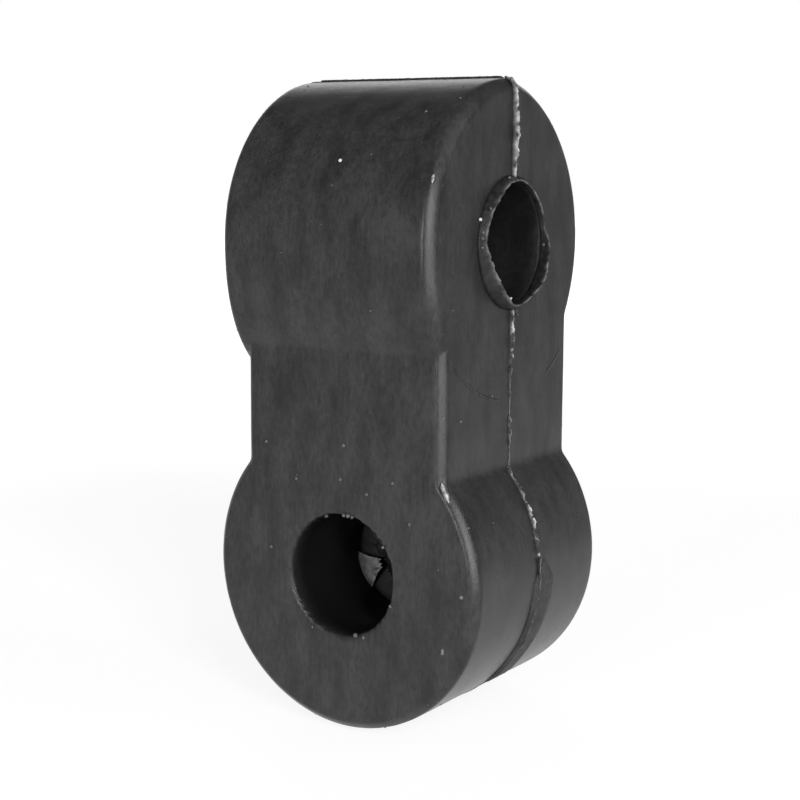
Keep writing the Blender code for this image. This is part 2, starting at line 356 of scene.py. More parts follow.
def rounded_block(name, points, half_length, rim, turn):
    """An outline drawn out both ways, then turned so that it faces along X or Y."""
    ways = mitres(points)
    shape = bmesh.new()
    rings = []
    quarter = [math.pi / 2 * i / RIM_STEPS for i in range(RIM_STEPS + 1)]
    for side, angles in ((-1, quarter[::-1]), (1, quarter)):
        for angle in angles:
            along = side * (half_length - rim * (1 - math.sin(angle) ** (2 / RIM_POWER)))
            inset = rim * (1 - abs(math.cos(angle)) ** (2 / RIM_POWER))
            flat = [point - way * inset for point, way in zip(points, ways)]
            rings.append([shape.verts.new((p.x, p.y, along)) for p in flat])
    for low, high in zip(rings[:-1], rings[1:]):
        for i in range(len(points)):
            j = (i + 1) % len(points)
            shape.faces.new((low[i], low[j], high[j], high[i]))
    shape.faces.new(rings[0][::-1])
    shape.faces.new(rings[-1])
    bmesh.ops.transform(shape, matrix=turn, verts=shape.verts)
    bmesh.ops.recalc_face_normals(shape, faces=shape.faces)
    return link_mesh(name, shape)


def bore(name, along_x, middle):
    shape = bmesh.new()
    bmesh.ops.create_cone(
        shape, cap_ends=True, segments=BORE_SEGMENTS, radius1=BORE_RADIUS, radius2=BORE_RADIUS,
        depth=BORE_CUT,
    )
    turn = FACE_ALONG_X if along_x else FACE_ALONG_Y
    bmesh.ops.transform(shape, matrix=Matrix.Translation(middle) @ turn, verts=shape.verts)
    return link_mesh(name, shape)


def combined(item, steps):
    """The mesh of an object after Booleans with the given tools, which are then removed."""
    for operation, tool in steps:
        step = item.modifiers.new(tool.name, "BOOLEAN")
        step.operation = operation
        step.solver = "EXACT"
        step.object = tool
    bpy.context.view_layer.update()
    solid = item.evaluated_get(bpy.context.evaluated_depsgraph_get())
    mesh = bpy.data.meshes.new_from_object(solid)
    for used in [item] + [tool for operation, tool in steps]:
        bpy.data.objects.remove(used, do_unlink=True)
    return mesh


def draft(x):
    """How many times taller the top of the upper eye is at a place, for it rises to the left."""
    return 1 + UPPER_DRAFT * (UPPER_RIGHT - x) / (UPPER_RIGHT - UPPER_LEFT)


lower = rounded_block(
    "neck_and_lower_eye", keyhole_outline(), LOWER_HALF_LENGTH, LOWER_RIM, FACE_ALONG_Y
)
upper = rounded_block(
    "upper_eye", upper_outline(), (UPPER_RIGHT - UPPER_LEFT) / 2, UPPER_RIM, FACE_ALONG_X
)
upper.data.transform(Matrix.Translation(((UPPER_LEFT + UPPER_RIGHT) / 2, 0, 0)))
for vertex in upper.data.vertices:
    if vertex.co.z > 0:
        vertex.co.z *= draft(vertex.co.x)
block_mesh = combined(lower, [
    ("UNION", upper),
    ("DIFFERENCE", bore("upper_bore", True, (0, 0, 0))),
    ("DIFFERENCE", bore("lower_bore", False, (0, 0, -EYE_SPACING))),
])
print("block has", len(block_mesh.polygons), "faces before it is cut finer")

# %% [markdown]
# ## Soft creases
# Rubber never fills a sharp inside corner, and its edges are never knife sharp. The flat faces
# are first cut into a grid of small squares, which gives the mesh points to move. Then only the
# points near an edge are relaxed, so creases and bore mouths become small fillets and the flat
# faces stay flat.

# %% Cut finer and relax the creases
GRID_STEP = 0.6 * MM
CREASE_ANGLE = math.radians(24)
RELAX_ROUNDS = 3
WELD = 0.002 * MM
CUT_SLACK = 0.01 * MM
SLIVER = 0.04 * MM


def cut_finer(shape, spacing):
    """Cuts through the whole mesh along evenly spaced planes in three directions."""
    for axis in range(3):
        way = Vector([float(axis == i) for i in range(3)])
        values = [v.co[axis] for v in shape.verts]
        low, high = min(values), max(values)
        count = math.ceil((high - low) / spacing)
        for i in range(1, count):
            bmesh.ops.bisect_plane(
                shape, geom=shape.verts[:] + shape.edges[:] + shape.faces[:], dist=CUT_SLACK,
                plane_co=way * (low + (high - low) * i / count), plane_no=way,
            )


def relax_creases(shape, rounds):
    """Smooths the points within one edge of a crease, and says how many they are."""
    paired = [e for e in shape.edges if len(e.link_faces) == 2]
    sharp = [e for e in paired if e.calc_face_angle(0) > CREASE_ANGLE]
    near = {v for e in sharp for v in e.verts}
    near |= {e.other_vert(v) for v in list(near) for e in v.link_edges}
    for step in range(rounds):
        bmesh.ops.smooth_vert(
            shape, verts=list(near), factor=0.5, use_axis_x=True, use_axis_y=True, use_axis_z=True
        )
    return len(near)


shape = bmesh.new()
shape.from_mesh(block_mesh)
bmesh.ops.remove_doubles(shape, verts=shape.verts, dist=WELD)
cut_finer(shape, GRID_STEP)
bmesh.ops.triangulate(shape, faces=[f for f in shape.faces if len(f.verts) > 4])
bmesh.ops.remove_doubles(shape, verts=shape.verts, dist=SLIVER)
moved = relax_creases(shape, RELAX_ROUNDS)
bmesh.ops.recalc_face_normals(shape, faces=shape.faces)
for face in shape.faces:
    face.smooth = True
print("relaxed", moved, "of", len(shape.verts), "points;", len(shape.faces), "faces")
block = link_mesh("moulded_block", shape)

# %% [markdown]
# ## Geometry Nodes: ready-made inputs
# A node group is like a small machine with labelled knobs. These helpers make a group with
# named inputs, hang it on an object as a modifier, and then keep only the plain mesh, because
# a modifier doesn't travel with an exported model.

# %% Geometry Nodes helpers


def new_group(name, knobs):
    """A geometry group with the given inputs: (name, socket type) pairs."""
    group = bpy.data.node_groups.new(name, "GeometryNodeTree")
    group.interface.new_socket("Geometry", in_out="INPUT", socket_type="NodeSocketGeometry")
    group.interface.new_socket("Geometry", in_out="OUTPUT", socket_type="NodeSocketGeometry")
    for knob, kind in knobs:
        group.interface.new_socket(knob, in_out="INPUT", socket_type=kind)
    return group


def run_group(item, group, values):
    """Runs the group on an object and leaves a plain mesh in its place."""
    step = item.modifiers.new(group.name, "NODES")
    step.node_group = group
    sockets = {s.name: s.identifier for s in group.interface.items_tree if s.in_out == "INPUT"}
    for knob, value in values.items():
        step[sockets[knob]] = value
    bpy.context.view_layer.update()
    done = item.evaluated_get(bpy.context.evaluated_depsgraph_get())
    mesh = bpy.data.meshes.new_from_object(done)
    item.modifiers.clear()
    item.data = mesh


# %% [markdown]
# ## The hand of the mould
# A worn mould and shrinking rubber leave faces that are not quite flat, so a highlight along a
# rim wavers a little. The group pushes each point along its normal by two noises, one a few
# millimetres long and one under a millimetre.

# %% Uneven surface
UNEVEN_KNOBS = [
    ("Long Size", "NodeSocketFloat"), ("Long Depth", "NodeSocketFloat"),
    ("Short Size", "NodeSocketFloat"), ("Short Depth", "NodeSocketFloat"),
    ("Seed", "NodeSocketFloat"), ("Material", "NodeSocketMaterial"),
]


def uneven_group():
    group = new_group("uneven_surface", UNEVEN_KNOBS)
    knob = add_node(group, "NodeGroupInput").outputs
    place = add_node(group, "GeometryNodeInputPosition")
    pushes = []
    for size, depth in (("Long Size", "Long Depth"), ("Short Size", "Short Depth")):
        scale = add_node(group, MATH, "DIVIDE", (1.0, knob[size]))
        wave = add_node(
            group, NOISE, {"noise_dimensions": "4D"},
            {"Vector": place, "W": knob["Seed"], "Scale": scale, "Detail": 2.0},
        )
        centred = add_node(group, MATH, "SUBTRACT", (wave, 0.5))
        push = add_node(group, MATH, "MULTIPLY", (centred, knob[depth]))
        pushes.append(push)
    total = add_node(group, MATH, "ADD", (pushes[0], pushes[1]))
    normal = add_node(group, "GeometryNodeInputNormal")
    offset = add_node(group, VECTOR_MATH, "SCALE", {0: normal, "Scale": total})
    moved = add_node(
        group, "GeometryNodeSetPosition", inputs={"Geometry": knob["Geometry"], "Offset": offset}
    )
    real = add_node(group, "GeometryNodeRealizeInstances", inputs=(moved,))
    painted = add_node(
        group, "GeometryNodeSetMaterial",
        inputs={"Geometry": real, "Material": knob["Material"]},
    )
    add_node(group, "NodeGroupOutput", inputs=(painted,))
    return group


uneven = uneven_group()
print("uneven surface group has", len(uneven.nodes), "nodes")

# %% [markdown]
# ## Satin rubber
# EPDM rubber filled with carbon black is nearly black and has an index of refraction of about
# 1.47, and a dull skin of it reflects less than polished rubber. A moulded skin is satin: the
# mould's fine grain blurs what it mirrors. Flow marks run the way the rubber filled the mould,
# and a faint grey bloom comes out of old rubber. A torn edge is the same rubber without the
# skin. Its crest is partly rubbed pale and partly painted with a highlight where light catches
# it, and an attribute called crest says where. The knife left the rib dull. Deep in the bores
# the colour is darkened with painted shade, and the folded flap is painted pale grey as a patch
# of light.

# %% Rubber materials
RUBBER_IOR = 1.47
RUBBER_GLOSS, BORE_GLOSS = 0.27, 0.1


def rubber(name, dark, pale, streak, mottle, rough_low, rough_high, grain, depth):
    """streak stretches the flow marks upwards; mottle, grain and its depth are in millimetres."""
    material = bpy.data.materials.new(name)
    material.use_nodes = True
    tree = material.node_tree
    shader = tree.nodes["Principled BSDF"]
    place = add_node(tree, "ShaderNodeTexCoord").outputs["Object"]
    flow = add_node(
        tree, "ShaderNodeMapping",
        inputs={"Vector": place, "Scale": (1 / MM, 1 / MM, 1 / MM / streak)},
    )
    even = add_node(tree, "ShaderNodeMapping", inputs={"Vector": place, "Scale": (1 / MM,) * 3})
    marks = add_node(
        tree, NOISE,
        inputs={"Vector": flow, "Scale": 1 / mottle, "Detail": 5.0, "Roughness": 0.65},
    )
    bloom = add_node(
        tree, NOISE,
        inputs={"Vector": flow, "Scale": 1 / (6 * mottle), "Detail": 2.0},
    )
    both = add_node(tree, MATH, "MULTIPLY", (marks, bloom))
    share = add_node(tree, MAP_RANGE, inputs={"Value": both, "From Min": 0.13, "From Max": 0.37})
    colour = add_node(
        tree, "ShaderNodeMix", {"data_type": "RGBA"},
        {0: share, 6: linear(dark), 7: linear(pale)},
    )
    rough = add_node(
        tree, MAP_RANGE,
        inputs={"Value": marks, "From Min": 0.3, "From Max": 0.7,
                "To Min": rough_low, "To Max": rough_high},
    )
    fine = add_node(tree, NOISE, inputs={"Vector": even, "Scale": 1 / grain, "Detail": 3.0})
    bump = add_node(
        tree, "ShaderNodeBump",
        inputs={"Height": fine, "Distance": depth * MM, "Strength": 1.0},
    )
    tree.links.new(colour.outputs[2], shader.inputs["Base Color"])
    tree.links.new(rough.outputs[0], shader.inputs["Roughness"])
    tree.links.new(bump.outputs[0], shader.inputs["Normal"])
    shader.inputs["IOR"].default_value = RUBBER_IOR
    shader.inputs["Specular IOR Level"].default_value = RUBBER_GLOSS
    material.diffuse_color = linear(dark)
    return material


def pale_crest_wear_and_highlight(material, pale, patch, least, most, narrow):
    """Mixes in a pale colour on the crest of an edge, in patches of the given size in mm; it is
    partly wear and partly a painted highlight where light catches the crest.
    """
    tree = material.node_tree
    shader = tree.nodes["Principled BSDF"]
    below = shader.inputs["Base Color"].links[0].from_socket
    crest = add_node(tree, "ShaderNodeAttribute", {"attribute_name": "crest"}).outputs["Fac"]
    sharp = add_node(tree, MATH, "POWER", (crest, narrow))
    place = add_node(tree, "ShaderNodeTexCoord").outputs["Object"]
    spots = add_node(
        tree, NOISE, inputs={"Vector": place, "Scale": 1 / (patch * MM), "Detail": 2.0}
    )
    spread = add_node(
        tree, MAP_RANGE,
        inputs={"Value": spots, "From Min": 0.35, "From Max": 0.65,
                "To Min": least, "To Max": most},
    )
    share = add_node(tree, MATH, "MULTIPLY", (sharp, spread))
    colour = add_node(
        tree, "ShaderNodeMix", {"data_type": "RGBA"}, {0: share, 6: below, 7: linear(pale)}
    )
    tree.links.new(colour.outputs[2], shader.inputs["Base Color"])


def paint_bore_shade(material, dark):
    """Paints shade deep in the bores: darkens the colour and takes the gloss away, as the bore
    attribute says.
    """
    tree = material.node_tree
    shader = tree.nodes["Principled BSDF"]
    below = shader.inputs["Base Color"].links[0].from_socket
    deep = add_node(tree, "ShaderNodeAttribute", {"attribute_name": "bore"}).outputs["Fac"]
    colour = add_node(
        tree, "ShaderNodeMix", {"data_type": "RGBA"}, {0: deep, 6: below, 7: linear(dark)}
    )
    gloss = add_node(
        tree, MAP_RANGE, inputs={"Value": deep, "To Min": RUBBER_GLOSS, "To Max": BORE_GLOSS}
    )
    tree.links.new(colour.outputs[2], shader.inputs["Base Color"])
    tree.links.new(gloss.outputs[0], shader.inputs["Specular IOR Level"])


# The mould's own skin: satin, with faint upright flow marks and a grey bloom.
satin = rubber("satin_epdm_rubber", "#202020", "#333333", 2.6, 0.4, 0.28, 0.38, 0.2, 0.012)
# Painted shade: deep in a bore hardly any light comes back, so the colour is darkened there.
paint_bore_shade(satin, "#101010")
# Skin drawn thin between two core pins: dull, and painted darkest of all as shade deep in the bore.
skin_painted_shade = rubber("skin_epdm_painted_shade", "#0e0e0e", "#1a1a1a", 1.0, 0.8, 0.5, 0.65, 0.2, 0.02)
# Torn flash: dark and uneven at its foot; its pale crest is partly rubbed and partly a painted
# highlight.
torn = rubber("torn_epdm_rubber", "#1c1c1c", "#3c3c3c", 1.0, 0.4, 0.3, 0.5, 0.12, 0.03)
pale_crest_wear_and_highlight(torn, "#c4c4c4", 0.7, 0.0, 1.0, 2.0)
# Flash that broke off in bits: the crest's pale patches are partly wear and partly painted
# highlight, and between them it stays dark.
broken = rubber("broken_epdm_rubber", "#1c1c1c", "#343434", 1.0, 0.4, 0.3, 0.5, 0.12, 0.03)
pale_crest_wear_and_highlight(broken, "#c4c4c4", 0.9, -0.9, 1.0, 2.0)
# Pulled off by hand: a dark, slightly shiny wall with a thin grey edge, partly wear and partly
# painted highlight.
lip_rubber = rubber("pulled_epdm_rubber", "#131313", "#2c2c2c", 1.0, 0.5, 0.3, 0.45, 0.15, 0.02)
pale_crest_wear_and_highlight(lip_rubber, "#7c7c7c", 0.9, 0.0, 0.8, 7.0)
# Folded-back flap, painted pale grey and mottled as a patch of light in the dark bore.
flap_painted_light = rubber("flap_epdm_painted_light", "#3a3a3a", "#787878", 1.0, 0.5, 0.4, 0.6, 0.15, 0.02)
pale_crest_wear_and_highlight(flap_painted_light, "#a8a8a8", 0.6, 0.0, 0.9, 2.0)
# Cut with a knife: dull, with a deep grain.
cut_rubber = rubber("cut_epdm_rubber", "#232323", "#3e3e3e", 1.0, 0.35, 0.6, 0.75, 0.18, 0.03)
print("materials:", ", ".join(m.name for m in (
    satin, skin_painted_shade, torn, broken, lip_rubber, flap_painted_light, cut_rubber
)))

# %% Finish of the block, with painted shade in the bores
BORE_MARGIN = 1.03
BORE_FADE = 2 * MM
UPPER_SHADE, LOWER_SHADE = (0.3, 0.6), (0.4, 1.0)
UPPER_ENDS = (UPPER_LEFT, UPPER_RIGHT)
LOWER_ENDS = (-LOWER_HALF_LENGTH, LOWER_HALF_LENGTH)


def painted_bore_shade(place):
    """How much painted shade a place gets: 0 outside the bores; in one, its shade at the mouth, and
    its deepest shade further in.
    """
    found = 0.0
    for off_axis, along, (near, far), (at_mouth, deepest) in (
        (math.hypot(place.y, place.z), place.x, UPPER_ENDS, UPPER_SHADE),
        (math.hypot(place.x, place.z + EYE_SPACING), place.y, LOWER_ENDS, LOWER_SHADE),
    ):
        if off_axis < BORE_MARGIN * BORE_RADIUS:
            depth = min(far - along, along - near) / BORE_FADE
            found = max(found, min(deepest, at_mouth + (deepest - at_mouth) * depth))
    return found


run_group(block, uneven, {
    "Long Size": 5 * MM, "Long Depth": 0.07 * MM, "Short Size": 0.9 * MM,
    "Short Depth": 0.02 * MM, "Seed": 3.0, "Material": satin,
})
# The bore attribute holds the painted shade: darker deep in the bores.
block.data.attributes.new("bore", "FLOAT", "POINT")
painted_shades = [painted_bore_shade(vertex.co) for vertex in block.data.vertices]
block.data.attributes["bore"].data.foreach_set("value", painted_shades)
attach(block, "root")
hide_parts("hanger_rubber")
print("block:", len(block.data.polygons), "faces")

# %% [markdown]
# ## Moulding flash
# Where two mould halves or a core pin meet, rubber creeps into the gap and tears off. What is
# left is a thin ragged edge that follows a path. One group makes them all. It lays a grid along
# the path, folds it into a closed wedge, and lets noise tear its crest. Two attributes on the
# path's points say which way the edge stands and how high it is there. The group writes a third
# one, crest, which is 1 on the crest and 0 at the foot.

# %% Ragged edge group
EDGE_KNOBS = [
    ("Step", "NodeSocketFloat"), ("Foot Width", "NodeSocketFloat"),
    ("Crest Width", "NodeSocketFloat"), ("Sink", "NodeSocketFloat"),
    ("Crest Shift", "NodeSocketFloat"), ("Raggedness", "NodeSocketFloat"),
    ("Tear Length", "NodeSocketFloat"), ("Wander", "NodeSocketFloat"),
    ("Grain", "NodeSocketFloat"), ("Grain Size", "NodeSocketFloat"),
    ("Closed", "NodeSocketFloat"), ("Taper", "NodeSocketFloat"),
    ("Rows", "NodeSocketInt"), ("Seed", "NodeSocketFloat"), ("Material", "NodeSocketMaterial"),
]
# Shares of the way from the middle of the crest to the buried foot: crown, flank and root.
SECTION = [0.0, 0.3, 0.8, 1.0]
TEAR_SWING = 3.2


def ragged_edge_group():
    """Made in five steps: grid, path, section, tears, and the finished closed wedge."""
    group = new_group("ragged_edge", EDGE_KNOBS)
    knob = add_node(group, "NodeGroupInput").outputs

    def tear(vector, size, offset):
        """Noise from about -1 to 1 with bumps of the given size; offset keeps two uses apart."""
        seed = add_node(group, MATH, "ADD", (knob["Seed"], offset))
        scale = add_node(group, MATH, "DIVIDE", (1.0, size))
        wave = add_node(
            group, NOISE, {"noise_dimensions": "4D"},
            {"Vector": vector, "W": seed, "Scale": scale, "Detail": 3.0},
        )
        return add_node(group, MATH, "MULTIPLY_ADD", (wave, TEAR_SWING, -TEAR_SWING / 2))

    curve = add_node(group, "GeometryNodeMeshToCurve", inputs=(knob["Geometry"],))
    length = add_node(group, "GeometryNodeCurveLength", inputs=(curve,))
    steps = add_node(group, MATH, "DIVIDE", (length, knob["Step"]))
    grid = add_node(
        group, "GeometryNodeMeshGrid",
        inputs={"Size X": 1.0, "Size Y": 1.0, "Vertices Y": knob["Rows"], "Vertices X": steps},
    )
    corner = add_node(group, "GeometryNodeInputPosition")
    flat = add_node(group, "ShaderNodeSeparateXYZ", inputs=(corner,)).outputs
    along = add_node(group, MATH, "ADD", (flat["X"], 0.5))
    across = add_node(group, MATH, "MULTIPLY", (flat["Y"], 2.0))
    across = add_node(group, MATH, "ABSOLUTE", (across,))

    samples = []
    for name, kind in (("out", "FLOAT_VECTOR"), ("height", "FLOAT")):
        wanted = add_node(
            group, "GeometryNodeInputNamedAttribute", {"data_type": kind}, {"Name": name}
        )
        samples.append(add_node(
            group, "GeometryNodeSampleCurve", {"mode": "FACTOR", "data_type": kind},
            {"Curves": curve, "Value": wanted, "Factor": along},
        ).outputs)
    place, tangent = samples[0]["Position"], samples[0]["Tangent"]
    out, height = samples[0]["Value"], samples[1]["Value"]
    sideways = add_node(group, VECTOR_MATH, "CROSS_PRODUCT", (out, tangent))

    crown, flank, root = [
        add_node(group, MAP_RANGE, inputs={"Value": across, "From Min": start, "From Max": end})
        for start, end in zip(SECTION[:-1], SECTION[1:])
    ]
    standing = add_node(group, MATH, "SUBTRACT", (1.0, flank))
    unburied = add_node(group, MATH, "SUBTRACT", (1.0, root))
    to_end = add_node(group, MATH, "SUBTRACT", (1.0, along))
    to_end = add_node(group, MATH, "MINIMUM", (along, to_end))
    taper = add_node(
        group, MAP_RANGE, inputs={"Value": to_end, "From Min": 0.0, "From Max": knob["Taper"]}
    )
    taper = add_node(group, MATH, "MAXIMUM", (taper, knob["Closed"]))
    half_crest = add_node(group, MATH, "MULTIPLY", (knob["Crest Width"], 0.5))
    half_foot = add_node(group, MATH, "MULTIPLY", (knob["Foot Width"], 0.5))
    flare = add_node(group, MATH, "SUBTRACT", (half_foot, half_crest))
    half = add_node(group, MATH, "MULTIPLY", (half_crest, crown))
    flare = add_node(group, MATH, "MULTIPLY", (flare, flank))
    half = add_node(group, MATH, "ADD", (half, flare))
    half = add_node(group, MATH, "MULTIPLY", (half, unburied))
    left_or_right = add_node(group, MATH, "SIGN", (flat["Y"],))
    side = add_node(group, MATH, "MULTIPLY", (half, left_or_right))

    wander = tear(place, knob["Tear Length"], 7.0)
    wander = add_node(group, MATH, "MULTIPLY", (wander, knob["Wander"]))
    lean = add_node(group, MATH, "ADD", (wander, knob["Crest Shift"]))
    lean = add_node(group, MATH, "MULTIPLY", (lean, standing))
    side = add_node(group, MATH, "ADD", (side, lean))
    side = add_node(group, MATH, "MULTIPLY", (side, taper))
    ragged = tear(place, knob["Tear Length"], 0.0)
    ragged = add_node(group, MATH, "MULTIPLY", (ragged, knob["Raggedness"]))
    ragged = add_node(group, MATH, "ADD", (ragged, 1.0))
    rise = add_node(group, MATH, "MULTIPLY", (height, ragged))
    rise = add_node(group, MATH, "MULTIPLY", (rise, standing))
    sunk = add_node(group, MATH, "MULTIPLY", (knob["Sink"], root))
    rise = add_node(group, MATH, "SUBTRACT", (rise, sunk))
    base = add_node(group, VECTOR_MATH, "SCALE", {0: sideways, "Scale": side})
    base = add_node(group, VECTOR_MATH, "ADD", (place, base))
    grain = tear(base, knob["Grain Size"], 13.0)
    grain = add_node(group, MATH, "MULTIPLY", (grain, knob["Grain"]))
    grain = add_node(group, MATH, "MULTIPLY", (grain, unburied))
    rise = add_node(group, MATH, "ADD", (rise, grain))
    rise = add_node(group, MATH, "MULTIPLY", (rise, taper))
    lifted = add_node(group, VECTOR_MATH, "SCALE", {0: out, "Scale": rise})
    lifted = add_node(group, VECTOR_MATH, "ADD", (base, lifted))

    marked = add_node(
        group, "GeometryNodeStoreNamedAttribute", {"data_type": "FLOAT"},
        {"Geometry": grid, "Name": "crest", "Value": standing},
    )
    laid = add_node(
        group, "GeometryNodeSetPosition", inputs={"Geometry": marked, "Position": lifted}
    )
    closed = add_node(
        group, "GeometryNodeMergeByDistance", inputs={"Geometry": laid, "Distance": WELD}
    )
    smooth = add_node(group, "GeometryNodeSetShadeSmooth", inputs={"Geometry": closed})
    real = add_node(group, "GeometryNodeRealizeInstances", inputs=(smooth,))
    painted = add_node(
        group, "GeometryNodeSetMaterial", inputs={"Geometry": real, "Material": knob["Material"]}
    )
    add_node(group, "NodeGroupOutput", inputs=(painted,))
    return group


ragged_edge = ragged_edge_group()
print("ragged edge group has", len(ragged_edge.nodes), "nodes")

# %% Pieces made from a path


def path_piece(name, points, closed, knobs):
    """points are (place, way out, height); the group turns them into a ragged edge."""
    count = len(points)
    edges = [(i, i + 1) for i in range(count - 1)] + ([(count - 1, 0)] if closed else [])
    mesh = bpy.data.meshes.new(name)
    mesh.from_pydata([p[0] for p in points], edges, [])
    mesh.attributes.new("out", "FLOAT_VECTOR", "POINT")
    mesh.attributes.new("height", "FLOAT", "POINT")
    mesh.attributes["out"].data.foreach_set("vector", [c for p in points for c in p[1]])
    mesh.attributes["height"].data.foreach_set("value", [p[2] for p in points])
    item = bpy.data.objects.new(name, mesh)
    bpy.context.scene.collection.objects.link(item)
    run_group(item, ragged_edge, dict(knobs, Closed=float(closed)))
    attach(item, "root")
    print(name, "has", len(item.data.polygons), "faces")


# %% [markdown]
# ## Parting line
# The flash runs round the block on the plane Y = 0. On top it is a clean low ridge. Above the
# torn lip it is tall and ragged, below the lip it still stands, and further down the neck it has
# mostly broken away. On the lower eye it is nearly half a millimetre out of line, as the mould
# halves were. It ends where the trimmed rib begins.

# %% Parting line
FLASH_HEIGHT = 0.3 * MM
FLASH_SWELL = 0.38 * MM
FLASH_TOP = 0.2 * MM
FLASH_START = UPPER_LEFT + 2.0 * MM
FAINT_SHARE = 0.3
PATH_STEP = 0.25 * MM
# The share of the flash that is left on the right of the neck, by height in millimetres.
NECK_SHARES = [
    (-25, 0.3), (-22.5, 0.25), (-21, 0.4), (-20, 0.8), (-17.6, 0.75), (-17.2, 0.15), (-15.5, 0.35),
    (-15, 0.6), (-13.2, 0.55), (-12.6, 0.95), (-6, 1.0),
]
FLASH_SLIP = -0.45 * MM
NECK_BREAK = -12.3 * MM
RIB_ANGLE = math.radians(6)
JUNCTION = LOWER_RADIUS * math.sin(NECK_ANGLE) - EYE_SPACING


def stretch(start, end, way):
    """Evenly spaced points on a line, all standing the same way."""
    start, end = Vector(start), Vector(end)
    count = max(1, round((end - start).length / PATH_STEP))
    return [(start.lerp(end, i / count), Vector(way)) for i in range(count + 1)]


def between(table, value):
    """The value that a table of (place, value) rows gives at a place, drawn with straight lines."""
    for (low, start), (high, end) in zip(table[:-1], table[1:]):
        if low <= value <= high:
            return start + (end - start) * (value - low) / (high - low)
    raise ValueError("place outside the table")


def bend(centre, radius, start, end):
    """Evenly spaced points on an arc, standing outwards."""
    count = max(2, round(abs(end - start) * max(radius, 1 * MM) / PATH_STEP))
    found = []
    for i in range(count + 1):
        angle = start + (end - start) * i / count
        way = Vector((math.cos(angle), math.sin(angle)))
        found.append((Vector(centre) + radius * way, way))
    return found


def flash_points(flat, slip, share_of_height):
    """Puts a path drawn in X and Z on the parting plane, or beside it by slip, with its heights."""
    points = []
    for place, way in flat:
        height = FLASH_HEIGHT
        share = (place.y - BORE_RADIUS) / (UPPER_HALF_HEIGHT - BORE_RADIUS)
        if place.x > UPPER_RIGHT - UPPER_RIM / 2 and 0 < share < 1:
            height += FLASH_SWELL * math.sin(math.pi * share)
        elif place.y > UPPER_HALF_HEIGHT - UPPER_RIM:
            height = FLASH_TOP * (1.0 if place.x > FLASH_START else FAINT_SHARE)
        elif way.x > 0.99 and JUNCTION <= place.y < -BORE_RADIUS:
            height *= between(NECK_SHARES, place.y / MM)
        height *= share_of_height
        rise = draft(place.x) if place.y > 0 else 1.0
        points.append(((place.x, slip, place.y * rise), (way.x, 0.0, way.y), height))
    return points


def flash_paths():
    """Name, path, slip, raggedness, height share and material of each length of flash."""
    top, rim = UPPER_HALF_HEIGHT, UPPER_RIM
    left, right, side = UPPER_LEFT, UPPER_RIGHT, NECK_HALF_WIDTH
    over = stretch((left, BORE_RADIUS), (left, top - rim), (-1, 0))
    over += bend((left + rim, top - rim), rim, math.pi, math.pi / 2)[1:]
    over += stretch((left + rim, top), (right - rim, top), (0, 1))[1:]
    mouth = bend((right - rim, top - rim), rim, math.pi / 2, 0)
    mouth += stretch((right, top - rim), (right, BORE_RADIUS), (1, 0))[1:]
    under = bend((left + rim, rim - top), rim, -math.pi / 2, -math.pi)
    under += stretch((left, rim - top), (left, -BORE_RADIUS), (-1, 0))[1:]
    eye = (0, -EYE_SPACING)
    return [
        ("flash_over_top", over, 0.0, 0.06, 1.0, satin),
        ("flash_above_mouth", mouth, 0.0, 0.5, 1.0, torn),
        ("flash_right_neck", stretch((side, NECK_BREAK), (side, JUNCTION), (1, 0)),
         0.0, 1.3, 0.8, lip_rubber),
        ("flash_left_neck", stretch((-side, JUNCTION), (-side, -top), (-1, 0)), 0.0, 1.0, 1.0, torn),
        ("flash_below_bore", under, 0.0, 0.6, 1.0, torn),
        ("flash_right_eye", bend(eye, LOWER_RADIUS, NECK_ANGLE, RIB_ANGLE),
         FLASH_SLIP, 1.6, 0.85, broken),
        ("flash_left_eye", bend(eye, LOWER_RADIUS, math.pi - RIB_ANGLE, math.pi - NECK_ANGLE),
         FLASH_SLIP, 0.8, 0.75, torn),
        ("flash_below_mouth", stretch((side, -BORE_RADIUS - 0.4 * MM), (side, NECK_BREAK), (1, 0)),
         0.0, 0.6, 1.35, broken),
    ]


FLASH = {
    "Step": 0.1 * MM, "Rows": 21, "Foot Width": 0.4 * MM, "Crest Width": 0.14 * MM,
    "Sink": 0.25 * MM, "Crest Shift": 0.0, "Raggedness": 0.5, "Tear Length": 0.7 * MM,
    "Wander": 0.16 * MM, "Grain": 0.04 * MM, "Grain Size": 0.25 * MM, "Taper": 0.01,
    "Seed": 1.0, "Material": torn,
}
for number, (name, flat, slip, raggedness, share, material) in enumerate(flash_paths()):
    knobs = dict(FLASH, Raggedness=raggedness, Seed=1.0 + number, Material=material)
    path_piece(name, flash_points(flat, slip, share), False, knobs)

# %% [markdown]
# ## Torn lip
# The core pin of the upper bore met the mould's wall at this face, and the skin that formed
# there was pulled off by hand. It left a standing lip that is highest towards the front and low
# at the back. Its heights follow the photograph at a few angles, and the group tears its edge.

# %% Torn lip
# Height in millimetres by angle in degrees, from the back of the bore upwards.
LIP_HEIGHTS = [
    (-180, 0.85), (-156, 1.5), (-140, 1.7), (-122, 1.6), (-100, 1.1), (-75, 0.7), (-60, 0.8),
    (-49, 1.2), (-37, 1.3), (-23, 1.2), (-9, 1.3), (1, 1.0), (12, 0.45), (23, 0.5), (37, 0.56),
    (55, 0.5), (90, 0.8), (118, 1.1), (136, 1.2), (152, 1.0), (165, 0.9), (180, 0.85),
]
LIP_RADIUS = 6.38 * MM
LIP_LEAN = -0.25


